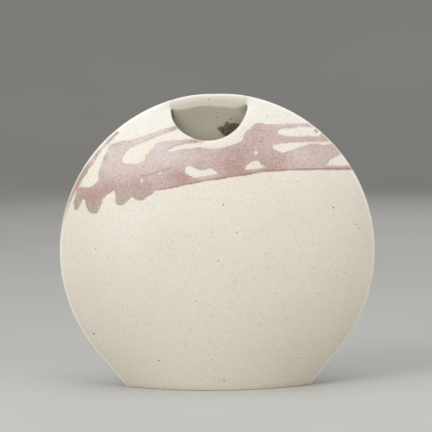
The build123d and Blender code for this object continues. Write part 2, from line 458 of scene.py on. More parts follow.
frontPour = {
    "runs": [
        # the long lower run
        [(133, 207.4, 2.2), (105, 208.0, 1.9), (76, 208.5, 1.9), (48, 208.2, 2.0), (25, 205.0, 2.1),
         (0, 201.7, 2.3),
         (-16, 199.8, 2.8), (-38, 196.2, 3.6), (-54, 194.6, 5.0)],
        # right body and lobe
        [(108, 225, 5.4), (106, 220.8, 7.4), (99, 219.5, 9.6), (92, 220.5, 10.6), (76, 218.5, 10.4),
         (62, 217, 10), (48, 218, 10)],
        [(106, 223.4, 6.0), (113, 224, 5.0), (117, 224.6, 4.0)],
        [(40, 242.4, 8.9), (47, 240.9, 8.3), (58, 242, 6)],
        [(34, 235.6, 10), (44, 231, 10), (60, 230, 7)],
        [(20, 221.6, 10.5), (31, 225, 12), (46, 222, 11)],
        [(44, 245.2, 3.8), (54, 246.8, 2.2), (68, 247.7, 2.1), (92, 248.2, 1.8)],
        [(50, 235, 4.4), (66, 234.7, 3.3), (86, 235.2, 2.7), (108, 234.4, 2.2)],
        [(98.2, 240.4, 1.2), (101, 237.6, 2.1), (105, 234.4, 1.6)],
        # middle
        [(14, 216.5, 13.6), (-2, 214, 13.4), (-16, 214.5, 14), (-30, 213.3, 13.8), (-45, 210.5, 13.8),
         (-62, 203, 14)],
        # left body, lobe and patch
        [(-62, 203, 14), (-80, 201.5, 12.5), (-98, 204, 11)],
        [(-88, 229.6, 5.6), (-95.2, 224.2, 8.1), (-98.8, 216, 8.4), (-100.6, 204, 11.4)],
        [(-88, 230.6, 4.4), (-79, 233, 3.0), (-60, 240, 2.2), (-37, 247.7, 1.9)],
        [(-58, 212, 10.8), (-56.8, 220, 10.0), (-54.5, 226, 7.5), (-51, 229.5, 4.8), (-40, 232.8, 2.6),
         (-28, 234.5, 2.1), (-21, 234.9, 1.8), (-15, 235.2, 1.2), (-11, 235.4, 0.6)],
        # drips
        [(-126.5, 185.8, 5.3), (-116.5, 184.4, 7.1), (-104.4, 194, 8.0)],
        [(-128.6, 186.6, 4.8), (-132.4, 177.5, 3.1), (-133.6, 172, 2.2)],
        [(-114, 186, 7.6), (-116.5, 177, 7.3), (-116.8, 172.3, 5.7)],
        [(-112, 184.4, 5.0), (-101, 196.6, 6.6)],
        [(-89.2, 189, 7.2), (-90.8, 180.2, 5.0)],
        [(-83, 187.4, 5.4), (-87, 182.6, 4.4)],
        [(-80, 191.4, 7.6), (-73, 188.4, 7.8), (-65, 190.8, 6.2)],
        # trail along the left rim
        [(-93.4, 242.9, 1.1), (-101.5, 235.4, 1.2), (-111.5, 224.8, 1.5), (-119, 214.6, 2.2),
         (-125.4, 205.6, 2.5), (-132, 195.6, 2.2),
         (-140.3, 178.8, 1.6), (-146.5, 159.8, 1.1), (-148.6, 149, 0.7)],
    ],
    "islands": [
        [(-84.5, 218.4, 4.8), (-76, 220.5, 6.3), (-68.5, 227, 4.6), (-61, 232.6, 3.2)],
        [(-26.4, 207.9, 4.0), (-20.4, 205.1, 3.8), (-13, 204.9, 2.6), (-7, 206.4, 2.9), (-2, 205.6, 1.6)],
        [(-71, 197.6, 1.0), (-70, 199.6, 1.0)],
        [(-53.8, 205, 0.7), (-53.2, 205.8, 0.7)],
        [(28.5, 210.2, 1.9), (34, 212.2, 2.9), (37.6, 213.6, 2.4)],
        [(36, 211.6, 2.6), (45.5, 210.2, 0.6)],
        [(36.5, 222.8, 1.3), (36.5, 224.0, 1.3)],
        [(55, 228.3, 2.8), (61.5, 227.4, 4.0), (69, 228.8, 3.3), (77, 230.1, 2.3), (90, 231.9, 0.7),
         (107, 231.2, 0.5)],
        [(60, 242.2, 2.4), (66, 242.4, 3.0), (78, 242.6, 3.9), (96, 242, 3.5)],
        [(104.6, 211.5, 0.8), (109.5, 213.3, 2.7), (114, 214.3, 3.6), (120, 214.7, 4.0), (127, 215, 4.2)],
    ],
    "spots": [[(94.0, 243.3, 1.5), (95, 242.5, 1.3)]],
    "lines": [
        [(132, 205.7, 1.5), (105, 206.7, 1.1), (76, 207.1, 0.9), (48, 206.6, 0.9), (25, 203.2, 0.8),
         (0, 199.7, 0.8), (-16, 197.3, 0.8),
         (-38, 192.8, 0.7), (-53.5, 189.8, 0.6), (-64, 184.6, 0.3)],
        [(-73, 201.8, 0.1), (-62, 204.2, 0.3), (-50, 208.4, 0.3), (-43, 210.3, 0.1)],
    ],
    # redder above zero, paler below: x, z, reach and strength
    "tints": [
        (-119, 182, 15, 1.4), (-100, 191, 10, 1.0), (-80, 193, 14, 1.0), (-62, 191, 12, 0.6),
        (-97, 222, 14, -0.5),
        (-54, 224, 15, -0.9), (-72, 235, 9, -0.7), (-57, 241, 9, -0.8), (-38, 248, 6, 0.4),
        (-36, 234, 8, -0.5), (-20, 235, 8, 0.9), (-78, 206, 9, -0.3), (-125, 206, 9, 1.5),
        (-40, 199, 12, 0.75), (-35, 206, 8, 0.6), (-20, 221, 12, -0.3), (-36, 218, 9, -0.5),
        (5, 214, 16, 0.5), (24, 220, 14, 0.6), (12, 204, 10, 0.5), (-24, 198, 9, 0.8),
        (36, 234, 12, 0.4), (48, 243, 9, 0.2), (58, 216, 11, 0.75), (90, 222, 16, -0.35),
        (110, 226, 8, 0.35), (66, 249, 8, -1.2), (82, 250, 8, -1.2), (95, 243, 4, 0.4),
        (-97, 239, 6, 0.8),
        (80, 235, 14, 0.2), (-132, 196, 8, 0.8), (102, 238, 6, 0.5), (-93.5, 243, 3, 1.2),
        (77, 222, 8, -0.6), (12, 228, 6, 0.35), (46, 206, 9, 0.9), (26, 205, 8, 0.8),
    ],
    "greys": [
        (-133.5, 171, 8, 0.9), (-117, 168, 9, 0.8), (-91, 179, 10, 0.95), (-72, 180.5, 9, 0.7),
        (-105, 219, 6, 0.55), (-97, 232, 8, 0.4),
        (46, 218, 10, 0.35), (43, 214, 7, 0.3), (-16, 212, 7, 0.6), (-46, 204, 9, 0.45),
        (-66, 196, 6, 0.35), (36, 246, 8, 0.4),
        (88, 232, 10, 0.3), (-113, 222.5, 6, 0.9), (-126, 204, 7, 0.7), (-101, 237, 5, 0.9),
        (-41, 247, 6, 0.6), (95, 243, 3, 0.5), (-138, 183, 9, 0.7), (-108, 204, 6, 0.4),
    ],
}

rearPour = {
    "runs": [
        [(133, 209.6, 1.9), (122, 205, 1.7), (112, 198, 2.2), (109, 189, 2.6), (108.5, 181, 2.0)],
        [(112, 226, 5.5), (98, 220, 7.0), (84, 214, 8.0), (70, 212, 7.0), (52, 212.5, 5.0),
         (30, 213, 2.6), (12, 211, 1.4)],
        [(92, 215, 7.0), (90, 203, 5.2), (90, 196, 4.2)],
        [(74, 211, 7.0), (72.5, 199, 4.6), (72, 192, 3.8)],
        [(56, 212, 5.0), (55, 203, 3.2)],
        [(94, 247.4, 1.6), (76, 247, 1.8), (58, 243, 2.0), (40, 238, 1.6), (24, 235, 1.0)],
        [(108, 234.6, 1.9), (90, 231, 2.6), (72, 228, 2.2), (56, 228.5, 1.4)],
        [(-94.5, 241, 1.3), (-104, 231.8, 2.2), (-113, 221.4, 3.0), (-124, 206, 3.4), (-131, 194.6, 2.6),
         (-140, 178.5, 1.8),
         (-146.2, 159.8, 1.1), (-148.4, 149, 0.7)],
        [(-118, 213, 3.4), (-113, 199, 3.2), (-112, 190, 2.6)],
    ],
    "islands": [[(79, 215, 1.6), (86, 217, 2.2)], [(98, 210, 1.2), (99, 211.4, 1.2)]],
    "spots": [],
    "lines": [],
    "tints": [
        (92, 200, 14, 0.9), (74, 198, 14, 0.7), (60, 214, 14, 0.3), (100, 222, 14, -0.4),
        (50, 240, 20, -0.3), (-120, 205, 20, 0.4),
    ],
    "greys": [
        (90, 195, 7, 0.9), (72, 191, 7, 0.9), (55, 202, 6, 0.7), (108, 181, 7, 0.9), (-112, 189, 6, 0.8),
        (60, 228, 14, 0.5),
    ],
}


def strokeField(x, z, strokes, soft):
    # signed distance into the strokes, positive inside, merged softly
    field = np.full_like(x, pour["outside"])
    for stroke in strokes:
        for (ax, az, ar), (bx, bz, br) in zip(stroke, stroke[1:]):
            dx, dz = bx - ax, bz - az
            t = np.clip(((x - ax) * dx + (z - az) * dz) / (dx * dx + dz * dz), 0, 1)
            inside = ar + (br - ar) * t - np.hypot(x - ax - dx * t, z - az - dz * t)
            blend = np.maximum(soft - np.abs(field - inside), 0) / soft
            field = np.maximum(field, inside) + blend * blend * soft / 4
    return field


def pourField(x, z, side):
    # slow and quick waves make the edges waver
    sway = np.sin(0.23 * x + 1.7 * np.sin(0.13 * z)) + 0.6 * np.sin(0.47 * z + 1.3 * np.sin(0.19 * x))
    sway = (sway + 0.4 * np.sin(0.9 * x + 0.7 * z)) * pour["wobble"]
    runs = strokeField(x, z, side["runs"], pour["soft"]) + sway
    islands = strokeField(x, z, side["islands"], pour["soft"]) + sway * pour["islandWobble"]
    spots = strokeField(x, z, side["spots"], pour["spotSoft"])
    return np.maximum(np.minimum(runs, -islands), spots)


def tintField(x, z, patches):
    tint = np.zeros_like(x)
    for px, pz, reach, strength in patches:
        tint += strength * np.exp(-((x - px) ** 2 + (z - pz) ** 2) / reach**2)
    return tint


# node trees


def newTree(name, sizes):
    tree = bpy.data.node_groups.new(name, "GeometryNodeTree")
    tree.interface.new_socket("Geometry", in_out="INPUT", socket_type="NodeSocketGeometry")
    tree.interface.new_socket("Geometry", in_out="OUTPUT", socket_type="NodeSocketGeometry")
    for label, kind in sizes:
        tree.interface.new_socket(label, in_out="INPUT", socket_type="NodeSocket" + kind)
    return tree, tree.nodes.new("NodeGroupInput"), tree.nodes.new("NodeGroupOutput")


def addNode(tree, kind, links=(), **settings):
    node = tree.nodes.new(kind)
    for key, value in settings.items():
        setattr(node, key, value)
    for slot, source in dict(links).items():
        source = source.socket if isinstance(source, Calc) else source
        if isinstance(source, bpy.types.NodeSocket):
            tree.links.new(source, node.inputs[slot])
        else:
            node.inputs[slot].default_value = source
    return node


def dressAndEnd(tree, entry, leave, source):
    smooth = addNode(tree, "GeometryNodeSetShadeSmooth", {"Geometry": source})
    real = addNode(tree, "GeometryNodeRealizeInstances", {"Geometry": smooth.outputs[0]})
    links = {"Geometry": real.outputs[0], "Material": entry.outputs["Material"]}
    dressed = addNode(tree, "GeometryNodeSetMaterial", links)
    tree.links.new(dressed.outputs[0], leave.inputs[0])


def applyTree(piece, tree, values):
    modifier = piece.modifiers.new(tree.name, "NODES")
    modifier.node_group = tree
    for item in tree.interface.items_tree:
        if item.in_out == "INPUT" and item.name in values:
            modifier[item.identifier] = values[item.name]
    graph = bpy.context.evaluated_depsgraph_get()
    shaped = piece.evaluated_get(graph)
    baked = bpy.data.meshes.new_from_object(shaped, preserve_all_data_layers=True, depsgraph=graph)
    piece.modifiers.clear()
    return baked


swellSizes = {
    "Disc Radius": pot["discRadius"] * mm,
    "Disc Centre": centreZ * mm,
    "Flank Lean": lean,
    "Belly Height": bellyZ * mm,
    "Arc Behind": arcBehind * mm,
    "Arc Radius": arcRadius * mm,
    "Edge Blunting": pot["edgeBlunting"] * mm,
    "Wall": pot["wall"] * mm,
    "Nose Radius": pot["noseRadius"] * mm,
    "Nose Blend": pot["noseBlend"] * mm,
    "Joint Set": pot["jointSet"] * mm,
    "Crease Softness": pot["creaseSoftness"] * mm,
    "Exposed Width": pot["exposedWidth"] * mm,
    "Bared From": (mouthLeft + pot["baredIn"]) * mm,
    "Bared To": (mouthRight - pot["baredIn"]) * mm,
    "Bared Fade": pot["baredFade"] * mm,
    "Unevenness": pot["unevenness"] * mm,
    "Uneven Scale": pot["unevenScale"],
    "Glaze Relief": pot["glazeRelief"] * mm,
    "Glaze Run": pot["glazeRun"],
}


def swellTree():
    floats = [*swellSizes, "Side", "Exposed Set"]
    sockets = [(label, "Float") for label in floats] + [("Material", "Material")]
    tree, entry, leave = newTree("slabSwell", sockets)
    size = {label: Calc(tree, entry.outputs[label]) for label in floats}
    place = addNode(tree, "GeometryNodeInputPosition").outputs[0]
    axes = addNode(tree, "ShaderNodeSeparateXYZ", {0: place})
    x, z = Calc(tree, axes.outputs["X"]), Calc(tree, axes.outputs["Z"])

    def attribute(name):
        node = addNode(tree, "GeometryNodeInputNamedAttribute", {"Name": name}, data_type="FLOAT")
        return Calc(tree, node.outputs["Attribute"])

    def keep(source, name, value):
        links = {"Geometry": source, "Name": name, "Value": value}
        node = addNode(tree, "GeometryNodeStoreNamedAttribute", links, data_type="FLOAT", domain="POINT")
        return node.outputs[0]

    through, poured, thin, sway = (attribute(name) for name in ("through", "pour", "thin", "sway"))
    sine, cosine = size["Flank Lean"].do("SINE"), size["Flank Lean"].do("COSINE")
    above, acrossX = z - size["Disc Centre"], x.do("ABSOLUTE")

    # outer lens at this height
    knife = size["Disc Radius"] + size["Edge Blunting"]
    flankWide = (knife + above * sine) / cosine
    discWide = (knife * knife - above * above).root()
    wide = discWide + (flankWide - discWide) * above.do("LESS_THAN", knife * sine * -1.0)
    fromBelly = z - size["Belly Height"]
    deep = (size["Arc Radius"] * size["Arc Radius"] - fromBelly * fromBelly).root() - size["Arc Behind"]
    bow = (wide * wide + deep * deep) / (deep * 2.0)
    outer = deep - x * x / (bow + (bow * bow - x * x).root())

    # rounded nose along the rim, set back where the mouth bares it
    along = acrossX * sine * -1.0 - above * cosine
    discIn = size["Disc Radius"] - (x * x + above * above).root()
    flankIn = size["Disc Radius"] + above * sine - acrossX * cosine
    rimIn = discIn + (flankIn - discIn) * along.do("GREATER_THAN", 0.0)
    rimIn = (rimIn - 2e-7).do("MAXIMUM", 0.0)  # rounding aside, the rim itself is at zero
    start, end = size["Bared From"], size["Bared To"] * -1.0
    bared = x.between(start, start + size["Bared Fade"]) * above.do("GREATER_THAN", 0.0)
    bared = bared * (x * -1.0).between(end, end + size["Bared Fade"])
    setBack = size["Exposed Set"] * bared
    nose = (rimIn * (size["Nose Radius"] * 2.0 - rimIn)).root()
    pastNose = (rimIn - size["Nose Radius"]).do("MAXIMUM", 0.0)
    nose = nose.do("MAXIMUM", size["Nose Radius"] * pastNose.do("GREATER_THAN", 0.0))
    nose = nose + pastNose * pot["noseSlope"] + setBack
    outer = outer.do("SMOOTH_MIN", nose, size["Nose Blend"]) * thin

    # inner face of the wall, flat where the joint is
    innerArc = size["Arc Radius"] - size["Wall"]
    innerDeep = (innerArc * innerArc - fromBelly * fromBelly).root() - size["Arc Behind"]
    innerBow = bow - size["Wall"]
    inner = innerDeep - x * x / (innerBow + (innerBow * innerBow - x * x).root()) - size["Joint Set"] - sway
    hollow = inner.do("SMOOTH_MAX", 0.0, size["Crease Softness"])
    fallen = (rimIn / size["Exposed Width"] * -1.0 + 1.0).do("MAXIMUM", 0.0)
    hollow = hollow.do("MAXIMUM", setBack * ((fallen * fallen * -1.0 + 1.0).root() * -1.0 + 1.0))

    links = {"Vector": place, "Scale": size["Uneven Scale"], "Detail": 1.0}
    waves = addNode(tree, "ShaderNodeTexNoise", links)
    wave = (Calc(tree, waves.outputs[0]) - 0.5) * size["Unevenness"] * 2.0
    wave = wave * rimIn.between(pot["waveFrom"] * mm, pot["waveFull"] * mm)
    depth = outer + wave + (hollow - outer - wave) * through
    depth = depth + (outer.do("MINIMUM", hollow) - depth) * rimIn.do("LESS_THAN", 1e-6)
    moved = {"X": x, "Y": depth * size["Side"], "Z": z - attribute("drop")}
    swollen = addNode(tree, "ShaderNodeCombineXYZ", moved).outputs[0]
    links = {"Geometry": entry.outputs["Geometry"], "Position": swollen}
    shaped = addNode(tree, "GeometryNodeSetPosition", links)

    # the finish needs to know the inside and the nearness of the rim
    kept = keep(shaped.outputs[0], "inside", through * inner.between(-0.0003, 0.0006))
    kept = keep(kept, "rimIn", rimIn * 1000.0)

    relief = poured.between(-0.2, size["Glaze Run"]) * size["Glaze Relief"]
    relief = relief * rimIn.between(pot["reliefFrom"] * mm, pot["reliefFull"] * mm) * (through * -1.0 + 1.0)
    normal = addNode(tree, "GeometryNodeInputNormal")
    raised = addNode(tree, "ShaderNodeVectorMath", {0: normal.outputs[0], "Scale": relief}, operation="SCALE")
    glazed = addNode(tree, "GeometryNodeSetPosition", {"Geometry": kept, "Offset": raised.outputs[0]})
    closed = addNode(tree, "GeometryNodeMergeByDistance", {"Geometry": glazed.outputs[0], "Distance": 2e-6})
    dressAndEnd(tree, entry, leave, closed.outputs[0])
    return tree


# finishes

glaze = {
    "cream": (231, 224, 211),
    "creamWarm": (226, 218, 201),
    "creamCool": (229, 224, 213),
    "creamTop": (229, 225, 218),  # painted highlight: paler and cooler on the shoulders
    "creamFoot": (204, 191, 167),  # painted shade above the foot, where it stands on the floor
    "creamEdge": (238, 233, 222),  # paler along the rim, partly thinner glaze and partly painted highlight; also laid over a patch right of the middle
    "band": (204, 196, 179),  # painted shade, darker towards the inner crease of the joint face
    "fleck": (168, 146, 116),
    "mauvePale": (209, 195, 191),
    "mauve": (202, 180, 174),
    "rose": (174, 140, 130),
    "roseLine": (152, 111, 105),
    "greyEdge": (167, 153, 135),
    "stipple": (147, 118, 109),
    "inner": (196, 188, 169),
    "innerPale": (212, 204, 184),
    # painted light: paler low down inside, evening out the shade there
    "innerLow": (228, 220, 201),
    # painted light: paler on the right inside, where the front wall's tip shades it
    "innerSide": (246, 240, 224),
    "crevice": (112, 103, 88),  # painted shade deep between the walls, left of the mouth
    "splash": (162, 140, 118),
    "splashDark": (116, 96, 79),
    "clay": (196, 172, 140),
    "clayWarm": (182, 154, 120),
    "grog": (120, 94, 70),
    "speck": (72, 55, 40),
    "speckPale": (108, 86, 62),
    # scale, detail and roughness of each noise
    "noises": {
        "cloud": (14.0, 3.0),
        "wash": (31.0,),
        "patch": (42.0,),
        "mottle": (190.0,),
        "peel": (420.0,),
        "grain": (620.0, 2.0, 0.6),
        "dots": (800.0, 1.0),
        "finePeel": (1500.0, 1.0),
    },
    "flecks": (300.0, 0.2, 0.86),  # scale, reach in a cell and rarity
    "faintFlecks": (660.0, 0.34, 0.6),
    "roughness": 0.48,
    "bump": (0.1, 0.0004),  # strength and distance
}

underside = {
    "grog": (900.0, 3.0, 0.7),
    "cloud": (40.0, 3.0),
    "bump": (0.25, 0.0005),
    "glazedFrom": (0.0084, 0.0088),  # the floor's upper face is glazed
}

coilGlaze = {"cloud": (60.0, 3.0), "peel": (300.0,), "bump": (0.1, 0.0005)}

# coats that lie over one another: colour, strength, then what each follows, from where to where
coats = {
    "ground": [
        ("creamWarm", 1.0, ("cloud", 0.35, 0.7)),
        ("creamCool", 0.7, ("wash", 0.5, 0.8)),
        ("creamWarm", 0.6, ("height", 0.17, 0.03)),
        # painted highlight: a cooler tint on the shoulders
        ("creamTop", 0.85, ("height", 0.215, 0.262)),
        # paler over a patch right of the middle
        ("creamEdge", 0.6, ("across", 0.02, 0.09), ("height", 0.185, 0.225)),
        # painted shade above the foot
        ("creamFoot", 0.35, ("height", 0.006, 0.0005)),
        ("creamWarm", 0.45, ("mottle", 0.45, 0.75)),
        ("fleck", 0.34, ("grain", 0.52, 0.75)),
        ("fleck", 1.0, ("flecks",)),
        # paler along the rim: thinner glaze and painted highlight
        ("creamEdge", 0.9, ("rimIn", 3.4, 1.2)),
    ],
    "poured": [
        ("mauve", 1.0, ("redder", -0.9, 0.1)),
        ("rose", 1.0, ("redder", 0.0, 1.6)),
        ("greyEdge", 0.8, ("greyer", 0.0, 1.0)),
        ("stipple", 1.0, ("dots", 0.48, 0.66), ("dotted",)),
        ("roseLine", 0.7, ("lined", -0.7, 0.2)),
        # the pour paler along the rim: thinner glaze and painted highlight
        ("creamEdge", 0.55, ("rimIn", 2.0, 0.5)),
    ],
    # painted shade on the joint face, darker towards its inner crease
    "jointFace": [("band", 0.95, ("through",), ("rimIn", 0.8, 9.0))],
    "inside": [
        # painted light inside: paler low down and on the right
        ("innerLow", 1.0, ("height", 0.262, 0.236)),
        ("innerSide", 1.0, ("across", 0.016, 0.027), ("height", 0.265, 0.256)),
        # painted shade in the crevice left of the mouth
        ("crevice", 0.7, ("across", -0.0395, -0.0425)),
        ("fleck", 1.0, ("fleck",)),
    ],
    "splash": [("splash", 1.0, ("grain", 0.47, 0.62))],
    "foot": [("clay", 1.0, ("bare",))],
    "underside": [
        ("clayWarm", 1.0, ("cloud", 0.3, 0.7)),
        ("grog", 0.5, ("grog", 0.62, 0.72)),
        ("inner", 1.0, ("upper",)),
    ],
    "coil": [("innerPale", 1.0, ("cloud", 0.3, 0.7))],
    "speck": [("speckPale", 1.0, ("cloud", 0.35, 0.65))],
}


def shaderTree(name):
    material = bpy.data.materials.new(name)
    material.use_nodes = True
    tree = material.node_tree
    return material, tree, tree.nodes["Principled BSDF"], addNode(tree, "ShaderNodeTexCoord").outputs["Object"]


def mixColour(tree, share, first, second):
    node = addNode(tree, "ShaderNodeMix", {0: share, 6: first, 7: second}, data_type="RGBA")
    return node.outputs[2]


def noiseOf(tree, place, scale, detail=2.0, rough=0.5):
    links = {"Vector": place, "Scale": scale, "Detail": detail, "Roughness": rough}
    return Calc(tree, addNode(tree, "ShaderNodeTexNoise", links).outputs[0])


def flecksOf(tree, place, scale, reach, rarity):
    # round flecks in a share of the cells
    cells = addNode(tree, "ShaderNodeTexVoronoi", {"Vector": place, "Scale": scale})
    chance = Calc(tree, addNode(tree, "ShaderNodeSeparateColor", {0: cells.outputs["Color"]}).outputs[0])
    near = (Calc(tree, cells.outputs["Distance"]) * -1.0 + reach) * (2.0 / reach)
    return near.do("ADD", 0.0, clamp=True) * chance.between(rarity, 1.0)


def tone(name):
    return linear(*glaze[name])


def layCoats(tree, seen, colour, kind):
    for name, strength, *bands in coats[kind]:
        share = strength
        for measure, *limits in bands:
            band = seen[measure].between(*limits) if limits else seen[measure]
            share = band * share
        colour = mixColour(tree, share, colour, tone(name))
    return colour


def dressShader(tree, shader, colour, roughness, bump=None):
    tree.links.new(colour, shader.inputs["Base Color"])
    tree.links.new(roughness.socket, shader.inputs["Roughness"])
    if bump:
        links = dict(zip(("Strength", "Distance", "Height"), bump))
        tree.links.new(addNode(tree, "ShaderNodeBump", links).outputs[0], shader.inputs["Normal"])


def glazeMaterial():
    material, tree, shader, place = shaderTree("speckledGlaze")
    axes = addNode(tree, "ShaderNodeSeparateXYZ", {0: place})
    seen = {"across": Calc(tree, axes.outputs["X"]), "height": Calc(tree, axes.outputs["Z"])}
    for name in ("pour", "line", "tint", "grey", "inside", "splash", "rimIn", "through"):
        seen[name] = Calc(tree, addNode(tree, "ShaderNodeAttribute", attribute_name=name).outputs["Fac"])
    for name, settings in glaze["noises"].items():
        seen[name] = noiseOf(tree, place, *settings)
    cloudy, mottled, grainy = seen["cloud"] - 0.5, seen["mottle"] - 0.5, seen["grain"] - 0.5

    # cream ground: clouds, mottling, fine flecks, warmer towards the bottom, a painted highlight tint on the
    # shoulders, painted shade above the foot, paler along the rim from thinner glaze and painted highlight
    seen["fleck"] = flecksOf(tree, place, *glaze["flecks"]) * 0.7
    seen["flecks"] = seen["fleck"].do("MAXIMUM", flecksOf(tree, place, *glaze["faintFlecks"]) * 0.3)
    colour = layCoats(tree, seen, tone("cream"), "ground")

    # poured glaze: pale to rose, stippled, greyer at its edges, a dark line along the lower one
    seen["redder"] = seen["tint"] + cloudy * 0.7 + mottled * 0.9 + grainy * 1.6
    edge = seen["pour"].between(2.6, 0.2) * seen["patch"].between(0.4, 0.7) * 0.6
    seen["greyer"] = edge.do("MAXIMUM", seen["grey"] + mottled * 0.6)
    seen["dotted"] = seen["redder"].between(-0.3, 0.8) * 0.24 + 0.34
    seen["lined"] = seen["line"] + grainy * 0.6
    covered = (seen["pour"] + grainy * 1.4).between(-1.1, 0.9)
    colour = mixColour(tree, covered, colour, layCoats(tree, seen, tone("mauvePale"), "poured"))

    # joint face with painted shade, inside with painted light and shade, its splash, and bare clay under the
    # foot
    colour = layCoats(tree, seen, colour, "jointFace")
    innerTone = layCoats(tree, seen, tone("inner"), "inside")
    spilt = layCoats(tree, seen, tone("splashDark"), "splash")
    ragged = seen["splash"] + mottled * 2.6 + grainy * 3.4
    innerTone = mixColour(tree, ragged.between(-0.9, 0.7), innerTone, spilt)
    colour = mixColour(tree, seen["inside"], colour, innerTone)
    seen["bare"] = (seen["height"] * 1000.0 + mottled * 0.3).between(0.35, 0.15)
    colour = layCoats(tree, seen, colour, "foot")

    roughness = grainy * 0.18 + glaze["roughness"] - covered * 0.06 + seen["bare"] * 0.4
    peel = seen["peel"] * 0.7 + seen["finePeel"] * 0.3 - seen["fleck"] * 0.4
    dressShader(tree, shader, colour, roughness, (*glaze["bump"], peel))
    return material


def clayMaterial():
    # bare under the pot, glazed inside
    material, tree, shader, place = shaderTree("bareStoneware")
    height = Calc(tree, addNode(tree, "ShaderNodeSeparateXYZ", {0: place}).outputs["Z"])
    grog, upper = noiseOf(tree, place, *underside["grog"]), height.between(*underside["glazedFrom"])
    seen = {"grog": grog, "cloud": noiseOf(tree, place, *underside["cloud"]), "upper": upper}
    colour = layCoats(tree, seen, tone("clay"), "underside")
    roughness = (grog - 0.5) * 0.2 + 0.82 - upper * 0.35
    dressShader(tree, shader, colour, roughness, (*underside["bump"], grog))
    return material


def innerMaterial():
    material, tree, shader, place = shaderTree("innerGlaze")
    cloud, peel = noiseOf(tree, place, *coilGlaze["cloud"]), noiseOf(tree, place, *coilGlaze["peel"])
    colour = layCoats(tree, {"cloud": cloud}, tone("inner"), "coil")
    dressShader(tree, shader, colour, cloud * 0.2 + 0.38, (*coilGlaze["bump"], peel))
    return material


def speckMaterial():
    material, tree, shader, place = shaderTree("ironSpeck")
    cloud = noiseOf(tree, place, 700.0)
    dressShader(tree, shader, layCoats(tree, {"cloud": cloud}, tone("speck"), "speck"), cloud * 0.3 + 0.3)
    return material


glazeFinish, clayFinish = glazeMaterial(), clayMaterial()
innerFinish, speckFinish = innerMaterial(), speckMaterial()
print("finishes ready")

# walls

swell = swellTree()


def makeWall(name, node, side, runs, withMouth):
    piece, xz, through = flatSlab(name, withMouth)
    x, z = xz.T
    overLip = pour["overLip"] * np.maximum(through - pour["lipFrom"], 0)
    fields = {
        "pour": pourField(x, z, runs) - overLip,
        "line": strokeField(x, z, runs["lines"], pour["lineSoft"]),
        "tint": tintField(x, z, runs["tints"]),
        "grey": tintField(x, z, runs["greys"]),
        "splash": strokeField(x, z, [] if withMouth else pour["splash"], pour["splashSoft"]),
    }
    for label, field in fields.items():
        setAttribute(piece.data, label, np.clip(field, -pour["limit"], pour["limit"]))
    exposed = 0.0 if withMouth else pot["exposedSet"] * mm
    values = {**swellSizes, "Side": side, "Exposed Set": exposed, "Material": glazeFinish}
    piece.data = applyTree(piece, swell, values)
    piece.data.set_sharp_from_angle(angle=math.radians(pot["sharpAngle"]))
    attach(piece, "root")
    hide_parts(node)
    print(name, len(piece.data.polygons), "faces")
    return piece


frontWall = makeWall("frontWall", "front_wall", -1.0, frontPour, True)
rearWall = makeWall("rearWall", "rear_wall", 1.0, rearPour, False)

# iron specks, domes that sit on the glaze where a ray meets it

specks = {
    "plain": [  # x, z and radius of the ones that stand out on the front
        (5.5, 176, 0.75), (109.6, 170.8, 0.85), (17.6, 149.8, 0.65), (133.8, 150.6, 0.6),
        (0.1, 124.4, 0.65), (-115.2, 134.1, 0.55),
        (-102.3, 127.1, 0.45), (-118, 52, 1.0), (-56.2, 29, 0.75), (4.8, 9.4, 0.7), (-20.8, 86.5, 0.6),
        (93.5, 90.6, 0.6), (53, 92.5, 0.5),
        (-76.5, 15.5, 0.5), (-7, 30.5, 0.5), (-9.6, 47, 0.4), (-31.5, 45.6, 0.4), (-105.5, 94.5, 0.4),
        (-89.8, 81.5, 0.45), (-31.8, 115.4, 0.45),
        (16.5, 106.3, 0.4), (5.3, 96.6, 0.4), (-62, 126, 0.4), (-5.3, 150.8, 0.55), (14.3, 144.2, 0.4),
        (76.5, 28.4, 0.5), (48, 257, 0.5),
        (59.5, 196.9, 0.4), (75.3, 196.2, 0.55), (130.6, 154.2, 0.65), (22.2, 238.7, 0.4),
        (44.7, 130, 0.5), (89, 115, 0.45), (80.5, 102.6, 0.45), (120.8, 108.5, 0.5), (125, 96, 0.4),
        (139, 133.7, 0.4), (37.8, 63.3, 0.4), (112.8, 148.6, 0.35),
    ],
    "inside": [
        (-18.4, 258.9, 0.55), (0, 260.2, 0.5), (1.1, 256.4, 0.65), (13.8, 254.1, 0.75),
        (24.5, 260.8, 0.55), (-7.2, 273.4, 0.6), (-14, 253, 0.35),
    ],
    "small": 60,
    "smallRadius": (0.2, 0.42),
    "seed": 7,
    "flatness": 0.22,
    "sink": 0.35,  # share of a dome's radius below the surface
    "area": (-145, 145, 4, 262),  # from and to x, from and to z of the small ones
    "rimClear": 4.0,
    "mouthClear": 5.0,
    "rayFrom": 200.0,
}


